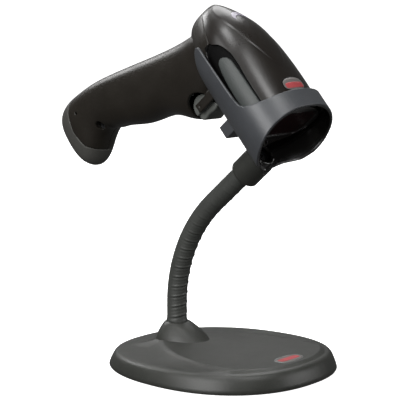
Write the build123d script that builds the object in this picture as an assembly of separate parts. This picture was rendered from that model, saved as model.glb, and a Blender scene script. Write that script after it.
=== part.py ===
"""Handheld barcode scanner resting in its gooseneck stand.

World frame: millimetres, +Z up, front towards -Y, origin under the middle of the round base.
The scanner and the cup that holds it are drawn in a frame of their own, the scan frame:
its -Y is the direction the scanner looks, its +Z is towards the crown of the head, and its
origin is the middle of the cup's front mouth. SCAN_FRAME places that frame in the world.
"""
from build123d import *
import math
import os

os.makedirs("parts", exist_ok=True)

# ---------------------------------------------------------------- driving dimensions
# Base of the stand
BASE_HALF_WIDTH = 67.0
BASE_HALF_LENGTH = 72.9
BASE_POWER = 2.25            # exponent of the superellipse that the base follows
BASE_EGG = 0.03              # how much wider the base is towards its front
BASE_RIM_HEIGHT = 10.8
BASE_RIM_SLOPE = -0.020      # the rim rises towards the front by this share
BASE_DRAFT = 4.2             # how far the wall leans in from foot to rim
RIM_ROUND = 3.4
PLATEAU_HEIGHT = 13.4
PLATEAU_FOOT = 9.2
PAD_THICKNESS = 1.5
FLOOR_THICKNESS = 2.4
COVER_FOOT = 0.5             # the cover's edge stays this far above the table
WEIGHT_THICKNESS = 4.0
GAP = 0.3                    # clearance between pieces that only lie next to each other

# Gooseneck
NECK_Y = 38.0                # the neck rises here, behind the middle of the base
NECK_RADIUS = 6.65           # outside of the rubber sleeve
CONDUIT_RADIUS = 4.3         # steel conduit inside it
NECK_BEND_RADIUS = 92.0
NECK_LENGTHS = 4             # the bend is cut into this many lengths
BALL_RADIUS = 6.2
SOCKET_RADIUS = 6.5
SOCKET_START = 2.2           # the next length starts this far above the pivot
BOSS_TOP = 24.0

# Scan frame
TILT = 49.0
MOUTH_Y = -53.2
MOUTH_Z = 152.2
SCAN_FRAME = Location((0, MOUTH_Y, MOUTH_Z), (TILT, 0, 0))

# Cup
CUP_HALF_WIDTH = 33.2
CUP_TOP = 25.9
CUP_BOTTOM = -31.5
CUP_WIDEST = 4.0             # height at which the cup and the head are widest
KEEL_PINCH = 0.9             # how far the flanks are drawn in towards the keel
KEEL_POWER = 3.2
CUP_WALL = 2.3
COLLAR_Y = 3.6
COLLAR_RADIUS = 9.8
COLLAR_SHIFT = -1.0          # the collar stands a little forward of the neck that it holds
COLLAR_BOTTOM = -45.0
COLLAR_TOP = -25.0

# Scanner
HOUSING_WALL = 3.0
HANDLE_WALL = 2.4
RECESS_DEPTH = 1.4
SKIN = 0.1                   # how far an inset piece lies below the surface around it
NOSE_Y = 2.5
SHELL_FRONT = 6.5            # the shells start here, behind the bezel's lip
SCREW_RADIUS = 1.25
TRIGGER_PIVOT = (50.6, -36.0)
PIN_RADIUS = 1.25
TRIGGER_HALF = 10.6          # half the trigger's width
TRIGGER_DISC = 7.7           # radius of its round cheeks
FINGER_HALF = 8.4            # half the width of the part that the finger pulls
PIN_SPAN = (-12.6, 12.6)
MIRROR_PIVOT = (0.0, 62.0)


# ---------------------------------------------------------------- helpers
def save(name, *solids):
    """Write one node: one solid, or several separate ones that are alike."""
    shape = solids[0] if len(solids) == 1 else Compound(children=list(solids))
    export_step(shape, f"parts/{name}.step")


def in_world(shape):
    """Carry a shape from the scan frame into the world frame."""
    return SCAN_FRAME * shape


def superellipse(half_x, half_y, power, centre_y=0.0, egg=0.0, count=20):
    """Points of a superellipse in the XY plane, wider towards -Y when egg is positive."""
    points = []
    for step in range(count):
        angle = 2 * math.pi * step / count
        across = math.copysign(abs(math.cos(angle)) ** (2 / power), math.cos(angle))
        along = math.copysign(abs(math.sin(angle)) ** (2 / power), math.sin(angle))
        points.append((half_x * across * (1 - egg * along), centre_y + half_y * along))
    return points


def closed_face(points):
    """The flat face inside one smooth closed curve."""
    return Face(Wire([Spline(*points, periodic=True)]))


def lofted(outlines, ruled=False):
    """The solid through a row of closed outlines, each a list of 3-D points."""
    return Solid.make_loft([Wire([Spline(*points, periodic=True)]) for points in outlines], ruled)


def base_outline(inset, z):
    """The base's plan outline, moved in by inset, at height z."""
    flat = superellipse(BASE_HALF_WIDTH - inset, BASE_HALF_LENGTH - inset, BASE_POWER, egg=BASE_EGG)
    return [(x, y, z) for x, y in flat]


def slab(inset, low, high):
    """A flat plate with the base's outline."""
    return extrude(closed_face(base_outline(inset, low)), high - low, dir=(0, 0, 1))


def post(radius, low, high, x=0.0, y=0.0):
    """An upright cylinder between two heights."""
    return Pos(x, y, low) * Cylinder(radius, high - low, align=(Align.CENTER, Align.CENTER, Align.MIN))


def block(x_range, y_range, z_range):
    """A box between pairs of coordinates."""
    middle = [(a + b) / 2 for a, b in (x_range, y_range, z_range)]
    size = [b - a for a, b in (x_range, y_range, z_range)]
    return Pos(*middle) * Box(*size)


def side_prism(profile, half_width, smooth=False):
    """A side-view profile, (y, z) points, carried across from -half_width to +half_width."""
    points = [(-half_width, y, z) for y, z in profile]
    edge = Spline(*points, periodic=True) if smooth else Polyline(*points, close=True)
    return extrude(Face(Wire([edge]) if smooth else edge), 2 * half_width, dir=(1, 0, 0))


def cross_pin(radius, x_range, y, z):
    """A cylinder along X between two x values."""
    length = x_range[1] - x_range[0]
    return Pos((x_range[0] + x_range[1]) / 2, y, z) * Rot(0, 90, 0) * Cylinder(radius, length)


# ---------------------------------------------------------------- base
def boss_outline(rear, front, half_width, z):
    """One level of the boss: a drop shape round the neck, pointed towards the front."""
    middle = NECK_Y + (rear - front) / 2
    flat = superellipse(half_width, (rear + front) / 2, 2.0, centre_y=middle, egg=0.04, count=16)
    return [(x, y, z) for x, y in flat]


BOSS_LEVELS = [              # rear reach, front reach, half width, height
    (11.8, 24.0, 15.2, 9.5),
    (11.4, 22.5, 14.6, 14.5),
    (10.6, 19.0, 12.6, 18.6),
    (9.2, 13.8, 10.2, 22.0),
    (7.4, 8.6, 7.9, BOSS_TOP),
]
SCREW_SPOTS = [(x, y) for x in (-38.0, 38.0) for y in (-36.0, 6.0)]
FLOOR_TOP = PAD_THICKNESS + FLOOR_THICKNESS
WEIGHT_BOTTOM = FLOOR_TOP
WEIGHT_TOP = WEIGHT_BOTTOM + WEIGHT_THICKNESS
CAVITY_TOP = WEIGHT_TOP + 0.2
NUT_HEIGHT = 4.5
BOSS_POCKET_TOP = 15.6
FERRULE_RADIUS = 6.0
BADGE_Y = -56.0


def base_cover():
    """The moulded cover: a leaning wall, a crowned plateau and the boss round the neck."""
    rim = [(x, y, z + BASE_RIM_SLOPE * y) for x, y, z in base_outline(BASE_DRAFT, BASE_RIM_HEIGHT)]
    wall = lofted([base_outline(0, COVER_FOOT), rim], ruled=True)
    wall = fillet(wall.edges().sort_by(Axis.Z)[-1], RIM_ROUND)
    plateau = lofted([
        [(x, y, PLATEAU_FOOT) for x, y in superellipse(59.0, 62.0, 2.2, centre_y=-3.0, egg=0.05)],
        [(x, y, PLATEAU_HEIGHT) for x, y in superellipse(45.0, 46.0, 2.2, centre_y=-13.0, egg=0.10)],
    ], ruled=True)
    boss = lofted([boss_outline(*level) for level in BOSS_LEVELS])
    cover = wall + plateau + boss
    cavity = lofted([base_outline(3.0, 0), base_outline(7.0, CAVITY_TOP)], ruled=True)
    cover -= cavity
    cover -= post(10.4, CAVITY_TOP - 1, BOSS_POCKET_TOP, y=NECK_Y)
    cover -= post(NECK_RADIUS + 0.25, BOSS_POCKET_TOP - 1, BOSS_TOP + 2, y=NECK_Y)
    for x, y in SCREW_SPOTS:
        cover -= post(1.55, CAVITY_TOP - 1, PLATEAU_HEIGHT - 1.6, x, y)
    cover -= badge_plate(0.15, -1.2, 4.0)
    return cover


def badge_plate(grow, low, high):
    """The oval badge near the front, between two heights measured from the plateau."""
    face = closed_face([(x, y, PLATEAU_HEIGHT + low)
                        for x, y in superellipse(8.0 + grow, 4.6 + grow, 2.4, centre_y=BADGE_Y)])
    return extrude(face, high - low, dir=(0, 0, 1))


def base_floor():
    """The plate that closes the base from below, with countersinks for the four screws."""
    plate = slab(4.4, PAD_THICKNESS, FLOOR_TOP)
    for x, y in SCREW_SPOTS:
        plate -= post(3.3, PAD_THICKNESS - 1, PAD_THICKNESS + 1.6, x, y)
        plate -= post(1.7, PAD_THICKNESS, FLOOR_TOP + 1, x, y)
    return plate


def base_weight():
    """The steel plate that keeps the stand upright."""
    plate = slab(7.6, WEIGHT_BOTTOM, WEIGHT_TOP)
    plate -= post(FERRULE_RADIUS + 0.1, WEIGHT_BOTTOM - 1, WEIGHT_TOP + 1, y=NECK_Y)
    plate -= post(8.3, WEIGHT_BOTTOM - 1, WEIGHT_BOTTOM + 1.8, y=NECK_Y)
    for x, y in SCREW_SPOTS:
        plate -= post(1.8, WEIGHT_BOTTOM - 1, WEIGHT_TOP + 1, x, y)
    return plate


def base_screw(x, y):
    """A pan-head screw, driven up through floor and weight into the cover."""
    head = post(2.9, PAD_THICKNESS + 0.1, PAD_THICKNESS + 1.6, x, y)
    shank = post(1.5, PAD_THICKNESS + 1.5, PLATEAU_HEIGHT - 2.0, x, y)
    cross = block((x - 1.6, x + 1.6), (y - 0.3, y + 0.3), (PAD_THICKNESS, PAD_THICKNESS + 0.8))
    return head + shank - cross


def neck_ferrule():
    """The flanged tube that carries the conduit through the weight."""
    tube = post(FERRULE_RADIUS, WEIGHT_BOTTOM + 0.1, BOSS_POCKET_TOP, y=NECK_Y)
    flange = post(8.1, WEIGHT_BOTTOM + 0.1, WEIGHT_BOTTOM + 1.7, y=NECK_Y)
    return tube + flange - post(CONDUIT_RADIUS, WEIGHT_BOTTOM - 1, BOSS_POCKET_TOP + 1, y=NECK_Y)


def neck_nut():
    """The hexagon nut that clamps the ferrule to the weight."""
    hexagon = extrude(RegularPolygon(9.4, 6), NUT_HEIGHT)
    nut = Pos(0, NECK_Y, WEIGHT_TOP) * hexagon
    return nut - post(FERRULE_RADIUS + 0.05, WEIGHT_TOP - 1, WEIGHT_TOP + NUT_HEIGHT + 1, y=NECK_Y)


def make_base():
    save("base_cover", base_cover())
    save("base_floor", base_floor())
    save("base_weight", base_weight())
    save("base_pad", slab(6.0, 0, PAD_THICKNESS))
    save("base_badge", badge_plate(0, -1.1, 0.15))
    save("base_screws", *[base_screw(x, y) for x, y in SCREW_SPOTS])
    save("neck_ferrule", neck_ferrule())
    save("neck_nut", neck_nut())


# ---------------------------------------------------------------- gooseneck
# The neck rises straight, bends forward on one arc until it points along the scan frame's
# +Z, and ends straight in the collar. The height of the arc's start follows from that.
TILT_RADIANS = math.radians(TILT)
LINE_Y = MOUTH_Y + COLLAR_Y * math.cos(TILT_RADIANS)
LINE_Z = MOUTH_Z + COLLAR_Y * math.sin(TILT_RADIANS)
ARC_END_Y = NECK_Y - NECK_BEND_RADIUS * (1 - math.cos(TILT_RADIANS))
LINE_REACH = (ARC_END_Y - LINE_Y) / math.sin(TILT_RADIANS)
ARC_START_Z = (LINE_Z - LINE_REACH * math.cos(TILT_RADIANS)
               - NECK_BEND_RADIUS * math.sin(TILT_RADIANS))
ARC_CENTRE = (0, NECK_Y - NECK_BEND_RADIUS, ARC_START_Z)
ARC_AXIS = Axis(ARC_CENTRE, (1, 0, 0))
LENGTH_ANGLE = TILT / NECK_LENGTHS
SLEEVE_FOOT = BOSS_POCKET_TOP


def neck_place(angle):
    """The frame on the neck's centre line at an angle of the bend, its Z along the neck."""
    turn = math.radians(angle)
    y = ARC_CENTRE[1] + NECK_BEND_RADIUS * math.cos(turn)
    z = ARC_CENTRE[2] + NECK_BEND_RADIUS * math.sin(turn)
    return Location((0, y, z), (angle, 0, 0))


def bent_tube(radius, start, end):
    """A solid round length of the bend between two angles."""
    disc = neck_place(start) * Circle(radius).face()
    return revolve(disc, ARC_AXIS, end - start)


def socket(angle):
    return neck_place(angle) * Sphere(SOCKET_RADIUS)


def ball(angle):
    return neck_place(angle) * Sphere(BALL_RADIUS)


def neck_length(number):
    """One length of conduit with its ball, and the length of sleeve round it."""
    low = LENGTH_ANGLE * (number - 1)
    high = LENGTH_ANGLE * number
    start = low + math.degrees(SOCKET_START / NECK_BEND_RADIUS)
    end = high - math.degrees(GAP / NECK_BEND_RADIUS)
    conduit = bent_tube(CONDUIT_RADIUS, start, high) - socket(low) + ball(high)
    sleeve = bent_tube(NECK_RADIUS, start, end) - bent_tube(CONDUIT_RADIUS, low, high)
    sleeve = sleeve - socket(low) - ball(high)
    return conduit, sleeve


def neck_foot():
    """The lowest length, held in the base."""
    conduit = post(CONDUIT_RADIUS, WEIGHT_BOTTOM + 0.4, ARC_START_Z, y=NECK_Y) + ball(0)
    sleeve = post(NECK_RADIUS, SLEEVE_FOOT, ARC_START_Z - GAP, y=NECK_Y)
    sleeve = sleeve - post(CONDUIT_RADIUS, SLEEVE_FOOT - 1, ARC_START_Z, y=NECK_Y) - ball(0)
    return conduit, sleeve


COLLAR_SLEEVE_DEPTH = 6.0
CONDUIT_TOP = -39.6


def neck_top():
    """The highest length: straight, from the last ball into the collar."""
    reach = LINE_REACH + COLLAR_BOTTOM
    foot = neck_place(TILT)
    inside = reach + COLLAR_SLEEVE_DEPTH - 0.1
    core_end = LINE_REACH + CONDUIT_TOP
    conduit = foot * post(CONDUIT_RADIUS, SOCKET_START, core_end) - socket(TILT)
    sleeve = foot * (post(NECK_RADIUS, SOCKET_START, inside) - post(CONDUIT_RADIUS, 0, inside + 1))
    return conduit, sleeve - socket(TILT)


def make_neck():
    pairs = [neck_foot()] + [neck_length(number + 1) for number in range(NECK_LENGTHS)] + [neck_top()]
    for number, (conduit, sleeve) in enumerate(pairs):
        save(f"neck_conduit_{number}", conduit)
        save(f"neck_sleeve_{number}", sleeve)


# ---------------------------------------------------------------- sections of head and cup
def egg_outline(half_width, top, bottom, widest, y, count=16):
    """A section across the scan direction: round above, drawn in to a keel below."""
    points = []
    for step in range(count):
        angle = 2 * math.pi * step / count
        across = math.cos(angle)
        rise = math.sin(angle)
        reach = top - widest if rise > 0 else widest - bottom
        draw_in = KEEL_PINCH * max(0.0, -rise) ** KEEL_POWER
        points.append((half_width * across * (1 - draw_in), y, widest + reach * rise))
    return points


def egg_bar(inset, y_range):
    """A straight bar with the cup's section, moved in by inset."""
    outline = egg_outline(CUP_HALF_WIDTH - inset, CUP_TOP - inset, CUP_BOTTOM + inset,
                          CUP_WIDEST, y_range[0])
    return extrude(closed_face(outline), y_range[1] - y_range[0], dir=(0, 1, 0))


# ---------------------------------------------------------------- cup
CUP_REACH = (-12.0, 76.0)
CUP_SIDE = [                 # side view of the cup, from the crown round the front
    (15.6, 30.0), (3.2, 30.0), (3.2, 23.5), (-0.2, 14.0), (-3.2, 6.0), (-6.0, -2.0), (-8.2, -10.0),
    (-8.6, -17.0), (-6.0, -23.0), (-5.2, -36.0), (37.5, -36.0), (39.0, -30.0), (43.5, -25.0),
    (49.0, -18.6), (56.0, -15.8), (60.5, -14.2), (65.0, -10.0), (69.0, -5.0), (70.4, -1.8), (69.0, 0.4),
    (42.0, 1.0), (28.0, 1.6), (23.0, 2.6), (20.4, 5.0), (17.8, 10.0), (16.0, 17.0),
]
LUG_Y = (25.6, 34.4)
LUG_BOTTOM = -37.2
SEAT_TOP = -28.4
POCKET_RADIUS = 6.2
POCKET_WALL = 1.8
POCKET_TOP = -23.6


def cup():
    """The cup: a ring round the nose, a trough under the head and an arm along each side."""
    shell = egg_bar(0, CUP_REACH) & side_prism(CUP_SIDE, 40)
    shell -= egg_bar(CUP_WALL, (CUP_REACH[0] - 1, CUP_REACH[1] + 1))
    lug = block((-6.0, 6.0), LUG_Y, (LUG_BOTTOM, CUP_BOTTOM + 4.0)) - egg_bar(CUP_WALL, CUP_REACH)
    boss = post(POCKET_RADIUS + POCKET_WALL, CUP_BOTTOM, POCKET_TOP, y=COLLAR_Y)
    shell = shell + lug + boss
    shell -= post(POCKET_RADIUS, SEAT_TOP, POCKET_TOP + 1, y=COLLAR_Y)
    shell -= post(2.2, CUP_BOTTOM - 2, SEAT_TOP + 2, y=COLLAR_Y)
    shell -= cup_magnet()
    return shell


def cup_magnet():
    """The magnet in the lug, which tells the scanner that it sits in its stand."""
    return block((-4.0, 4.0), (LUG_Y[0] + 1.4, LUG_Y[1] - 1.4), (LUG_BOTTOM + 1.2, CUP_BOTTOM + 0.4))


def neck_collar():
    """The collar that joins the neck to the cup; its top follows the cup's underside."""
    body = post(COLLAR_RADIUS, COLLAR_BOTTOM, COLLAR_TOP, y=COLLAR_Y + COLLAR_SHIFT)
    body = chamfer(body.edges().group_by(Axis.Z)[0], 1.2)
    body -= egg_bar(-0.02, CUP_REACH)
    body -= post(POCKET_RADIUS + POCKET_WALL, CUP_BOTTOM, COLLAR_TOP + 1, y=COLLAR_Y)
    body -= post(NECK_RADIUS + 0.1, COLLAR_BOTTOM - 1, COLLAR_BOTTOM + COLLAR_SLEEVE_DEPTH, y=COLLAR_Y)
    body -= post(CONDUIT_RADIUS, COLLAR_BOTTOM, CONDUIT_TOP + 0.1, y=COLLAR_Y)
    body -= post(2.05, CONDUIT_TOP, -28.0, y=COLLAR_Y)
    return body.solids().sort_by(SortBy.VOLUME)[-1]


def collar_screw():
    """The screw through the cup's seat into the collar."""
    head = post(3.4, SEAT_TOP, SEAT_TOP + 2.2, y=COLLAR_Y)
    shank = post(2.0, -38.6, SEAT_TOP + 0.5, y=COLLAR_Y)
    drive = block((-2.0, 2.0), (COLLAR_Y - 0.35, COLLAR_Y + 0.35), (SEAT_TOP + 1.2, SEAT_TOP + 3))
    return head + shank - drive - drive.rotate(Axis((0, COLLAR_Y, 0), (0, 0, 1)), 90)


def make_cup():
    save("cup", in_world(cup()))
    save("cup_magnet", in_world(cup_magnet()))
    save("neck_collar", in_world(neck_collar()))
    save("collar_screw", in_world(collar_screw()))


# ---------------------------------------------------------------- scanner shells
HEAD_STATIONS = [            # y, half width, crown, belly, height of the widest point
    (NOSE_Y, 29.8, 22.2, -20.0, 4.0),
    (14.0, 30.2, 22.4, -24.0, 4.0),
    (28.0, 30.2, 22.8, -28.0, 4.0),
    (42.0, 29.6, 22.8, -28.6, 3.4),
    (56.0, 27.9, 22.2, -30.5, 2.4),
    (70.0, 24.6, 19.8, -30.5, 1.0),
    (80.0, 20.2, 16.4, -28.5, 0.0),
    (88.0, 15.0, 12.6, -25.5, -1.5),
    (94.0, 9.6, 8.9, -22.5, -3.0),
    (97.6, 4.6, 5.6, -18.5, -5.0),
    (98.7, 2.0, 2.6, -14.5, -6.0),
]
HANDLE_STATIONS = [          # front y, front z, spine y, spine z, half width
    (54.0, -16.0, 86.0, -4.0, 19.0),
    (47.6, -33.0, 92.6, -18.5, 17.5),
    (51.6, -51.0, 96.6, -32.2, 16.0),
    (61.6, -60.0, 101.0, -44.6, 15.2),
    (69.6, -73.6, 107.0, -59.6, 14.8),
    (80.0, -93.8, 115.4, -80.2, 14.6),
    (88.8, -108.6, 122.6, -99.4, 14.6),
    (90.8, -118.6, 127.0, -117.0, 14.8),
    (85.6, -129.6, 128.9, -128.5, 14.8),
    (82.4, -137.8, 128.9, -135.8, 14.2),
    (83.6, -143.8, 127.0, -141.8, 12.6),
    (91.0, -147.6, 121.8, -146.0, 9.4),
    (101.0, -149.6, 114.0, -148.8, 4.6),
]
SEAM_SIDE = [                # side view of the line where the top cover meets the shells
    (104.0, -4.0), (94.0, -0.2), (87.0, 1.8), (78.0, 2.5), (70.0, 2.9), (67.2, 4.6), (64.8, 7.6),
    (60.0, 10.3), (52.7, 12.5), (44.8, 13.1), (19.6, 13.1), (-6.0, 13.2),
]
END_SEAM_SIDE = [            # side view of the line where the end cap starts
    (142.0, -120.0), (130.0, -124.0), (119.0, -131.5), (106.0, -135.0), (93.0, -133.5),
    (84.5, -128.4), (74.0, -126.0),
]
TOE_SCREW = (96.0, -114.4)
BELLY_SCREW = (34.0, -21.0)
RELEASE_HOLE = (113.9, -124.5)


def head_solid(inset, stations=HEAD_STATIONS):
    """The head's outer form, moved in by inset, through some or all of its stations."""
    outlines = []
    for y, half_width, crown, belly, widest in stations:
        outlines.append(egg_outline(half_width - inset, crown - inset, belly + inset, widest, y))
    return lofted(outlines)


def handle_outline(station, inset):
    """One section of the handle, in the plane through its front and spine points."""
    front_y, front_z, spine_y, spine_z, half_width = station
    depth = math.hypot(spine_y - front_y, spine_z - front_z) / 2
    middle_y = (front_y + spine_y) / 2
    middle_z = (front_z + spine_z) / 2
    along_y = (spine_y - front_y) / 2 / depth
    along_z = (spine_z - front_z) / 2 / depth
    flat = superellipse(half_width - inset, depth - inset, 2.5, count=14)
    return [(x, middle_y + s * along_y, middle_z + s * along_z) for x, s in flat]


def handle_solid(inset, stations=HANDLE_STATIONS):
    """The handle's outer form, moved in by inset, through some or all of its stations."""
    return lofted([handle_outline(station, inset) for station in stations])


def head_hollow(inset=0.0):
    """The space inside the head, which stops short of the rear."""
    return head_solid(HOUSING_WALL + inset, HEAD_STATIONS[:-2])


def handle_hollow():
    """The space inside the handle, which stops short of the end."""
    return handle_solid(HANDLE_WALL, HANDLE_STATIONS[:-2])


def above_seam(lift=0.0):
    """Everything above the seam of the top cover."""
    profile = [(y, z + lift) for y, z in SEAM_SIDE]
    return side_prism(profile + [(-6.0, 60.0), (104.0, 60.0)], 45)


def below_end_seam():
    """Everything below the seam of the handle's end cap."""
    return side_prism(END_SEAM_SIDE + [(74.0, -170.0), (142.0, -170.0)], 45)


def recess_region():
    """The long side recess that takes the bumpers, in side view."""
    lower_edge = [(-6.0, -3.6), (60.0, -3.6), (66.0, -1.5)]
    return side_prism(SEAM_SIDE[4:] + lower_edge, 45)


BUMPER_SIDE = [(9.0, 1.5), (37.0, 1.4), (48.0, 2.0), (53.6, 2.9), (55.6, 4.7), (55.5, 7.0), (53.8, 9.2),
               (50.6, 10.7), (42.3, 11.6), (30.0, 12.1), (9.0, 12.3)]


def trigger_slot():
    """The opening for the trigger: round about its pin, and open towards the front."""
    pivot_y, pivot_z = TRIGGER_PIVOT
    bay = cross_pin(TRIGGER_DISC + 1.2, (-TRIGGER_HALF - 8, TRIGGER_HALF + 8), pivot_y, pivot_z)
    mouth = block((-TRIGGER_HALF - 8, TRIGGER_HALF + 8), (34.0, pivot_y + 1.0),
                  (pivot_z - 9.8, pivot_z + 9.6))
    return bay + mouth


def screw_tower(y, z, side):
    """Half of a screw boss, on one side of the middle plane."""
    x_range = (-13.0, 0.0) if side < 0 else (0.0, 10.0)
    return cross_pin(3.3, x_range, y, z)


def pin_rib(side):
    """The rib that carries one end of the trigger's pin."""
    y, z = TRIGGER_PIVOT
    near, far = (TRIGGER_HALF + 0.4, TRIGGER_HALF + 2.4)
    x_range = (near, far) if side > 0 else (-far, -near)
    return block(x_range, (y - 3.0, y + 3.0), (z - 3.0, z + 16.0))


def housing(outer, cavity, side):
    """One half of the clamshell: the lower head and the handle on one side."""
    x_range = (-50, 0) if side < 0 else (0, 50)
    half = block(x_range, (-10, 150), (-160, 60))
    shell = (outer & half) - cavity
    for tower in (screw_tower(*TOE_SCREW, side), screw_tower(*BELLY_SCREW, side)):
        shell += tower & (outer & half)
    shell -= trigger_slot()
    shell += pin_rib(side)
    shell -= cross_pin(PIN_RADIUS, PIN_SPAN, *TRIGGER_PIVOT)
    for spot in (TOE_SCREW, BELLY_SCREW):
        shell -= cross_pin(SCREW_RADIUS + 0.05, (-30, 8.5), *spot)
        shell -= cross_pin(2.6, (-30, -6.0), *spot)
    shell -= cross_pin(0.9, (-30, -8.0), *RELEASE_HOLE)
    return shell.solids().sort_by(SortBy.VOLUME)[-1]


def housing_screw(y, z):
    """A screw across the two halves, its head towards the left."""
    head = cross_pin(2.35, (-8.0, -6.0), y, z)
    shank = cross_pin(SCREW_RADIUS, (-6.5, 8.0), y, z)
    return head + shank - block((-8.5, -7.2), (y - 1.5, y + 1.5), (z - 0.3, z + 0.3))


def make_shells():
    """The top cover, the two housing halves, the bumpers and the end cap."""
    head = head_solid(0)
    head_cavity = head_hollow()
    handle = handle_solid(0)
    handle_cavity = handle_hollow()
    front_cut = block((-40, 40), (-20, SHELL_FRONT), (-60, 60))
    recess_floor = head_solid(RECESS_DEPTH)
    recess = (head - recess_floor) & recess_region()
    cover = (head & above_seam()) - head_cavity - front_cut
    cover -= lens_column(0.05) + (badge_column(0.1) - head_solid(1.6))
    save("top_cover", in_world(cover.solids().sort_by(SortBy.VOLUME)[-1]))

    lower_head = head - above_seam() - recess - front_cut
    outer = lower_head + (handle - below_end_seam() - above_seam())
    cavity = head_cavity + handle_cavity
    save("housing_left", in_world(housing(outer, cavity, -1)))
    save("housing_right", in_world(housing(outer, cavity, 1)))

    bumper_skin = head_solid(SKIN) - head_solid(RECESS_DEPTH)
    for name, x_range in (("bumper_left", (-45, 0)), ("bumper_right", (0, 45))):
        strip = bumper_skin & side_prism(BUMPER_SIDE, 45) & block(x_range, (-10, 90), (-20, 30))
        save(name, in_world(strip.solids().sort_by(SortBy.VOLUME)[-1]))

    cap = (handle & below_end_seam()) - handle_cavity
    cap -= socket_body(0.1)
    save("handle_end_cap", in_world(cap.solids().sort_by(SortBy.VOLUME)[-1]))
    save("housing_screws", in_world(housing_screw(*TOE_SCREW)), in_world(housing_screw(*BELLY_SCREW)))


# ---------------------------------------------------------------- nose, lens and badge
WINDOW_HALF = (21.5, 11.0)
WINDOW_Z = 2.5
WINDOW_BACK = SHELL_FRONT + 2.0
WINDOW_LEDGE = 2.2            # how far the bezel overlaps the window's edge
LENS_UP = 16.0
HEAD_BADGE_Y = 21.5


def nose_bezel():
    """The glossy lip round the nose, with the ledge that the window rests on."""
    lip = block((-40, 40), (NOSE_Y - 1, SHELL_FRONT), (-60, 60))
    sleeve = block((-40, 40), (SHELL_FRONT - 0.5, SHELL_FRONT + 4.5), (-60, 60))
    body = ((head_solid(0) - head_hollow(-1.0)) & lip) + (head_hollow(0.1) & sleeve)
    body -= window_blank(-WINDOW_LEDGE, 0, 20)
    body -= window_blank(0.1, SHELL_FRONT - 1, WINDOW_BACK)
    return body.solids().sort_by(SortBy.VOLUME)[-1]


def window_blank(grow, front, back):
    """The window's outline, made larger by grow, carried from front to back."""
    half_x, half_z = WINDOW_HALF
    pane = block((-half_x - grow, half_x + grow), (front, back),
                 (WINDOW_Z - half_z - grow, WINDOW_Z + half_z + grow))
    return fillet(pane.edges().filter_by(Axis.Y), 6.0)


def window_pane():
    """The window, lying on the bezel's ledge."""
    return window_blank(0, SHELL_FRONT + 0.3, WINDOW_BACK)


def lens_column(grow):
    """The crescent outline of the status light's lens, made larger by grow, as an upright bar."""
    outer = Pos(0, 77.4, LENS_UP) * Cylinder(6.6 + grow, 12.0)
    bite = Pos(0, 72.6, LENS_UP) * Cylinder(7.2 - grow, 14.0)
    return outer - bite


def led_lens():
    """The lens of the status light, let into the crown near the rear."""
    return (lens_column(0) & head_solid(0.05)) - head_hollow(-0.6)


def badge_column(grow):
    """The badge's oval outline, made larger by grow, as an upright bar."""
    oval = superellipse(9.6 + grow, 5.4 + grow, 2.6, centre_y=HEAD_BADGE_Y)
    return extrude(closed_face([(x, y, 14.0) for x, y in oval]), 14.0, dir=(0, 0, 1))


def head_badge():
    """The plain oval badge on the crown, just behind the ring."""
    return badge_column(0) & (head_solid(0.3) - head_solid(1.5))


def make_nose():
    save("nose_bezel", in_world(nose_bezel()))
    save("window", in_world(window_pane()))
    save("led_lens", in_world(led_lens()))
    save("head_badge", in_world(head_badge()))


# ---------------------------------------------------------------- trigger
FINGER_SIDE = [(44.6, -28.0), (43.9, -32.5), (44.4, -37.0), (43.9, -40.8), (45.2, -43.2), (47.8, -43.9),
               (51.0, -42.4), (53.0, -37.0), (51.6, -30.4), (48.2, -27.6)]
FINGER_ROUND = 1.2
CHEEK_FRONT = 48.4
CHEEK_ROUND = 0.8


def trigger():
    """The trigger: round cheeks on its pin, and between them the grooved part for the finger."""
    finger = side_prism(FINGER_SIDE, FINGER_HALF, smooth=True)
    finger = fillet(finger.edges(), FINGER_ROUND)
    cheeks = cross_pin(TRIGGER_DISC, (-TRIGGER_HALF, TRIGGER_HALF), *TRIGGER_PIVOT)
    cheeks &= block((-20, 20), (CHEEK_FRONT, 70), (-60, 0))
    cheeks = fillet(cheeks.edges().filter_by(Axis.X, reverse=True), CHEEK_ROUND)
    return finger + cheeks - cross_pin(PIN_RADIUS + 0.05, (-20, 20), *TRIGGER_PIVOT)


def make_trigger():
    save("trigger", in_world(trigger()))
    save("trigger_pin", in_world(cross_pin(PIN_RADIUS, PIN_SPAN, *TRIGGER_PIVOT)))


# ---------------------------------------------------------------- scanner insides
# The board lies in the handle, along the handle's own axis.
BOARD_START = (71.0, -44.0)
BOARD_LENGTH = 66.0
HANDLE_LEAN = 25.7
BOARD_FRAME = Location((0, *BOARD_START), (HANDLE_LEAN, 0, 0))
SOCKET_PLACE = Location((0, 108.0, -149.0), (4.0, 0, 0))
ENGINE_FLOOR = -14.0


def on_board(x_range, depth_range, down_range):
    """A box in the board's frame: across, towards the spine, and down the handle."""
    low, high = down_range
    return BOARD_FRAME * block(x_range, depth_range, (-high, -low))


def socket_body(grow):
    """The ten-way cable socket, open at the handle's end."""
    shell = block((-6.5 - grow, 6.5 + grow), (-5.0 - grow, 5.0 + grow), (-2.0, 13.0 + grow))
    return SOCKET_PLACE * shell


def cable_socket():
    body = socket_body(0)
    body -= SOCKET_PLACE * block((-5.4, 5.4), (-3.9, 3.9), (-3.0, 10.5))
    return body & handle_solid(0.4)


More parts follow.
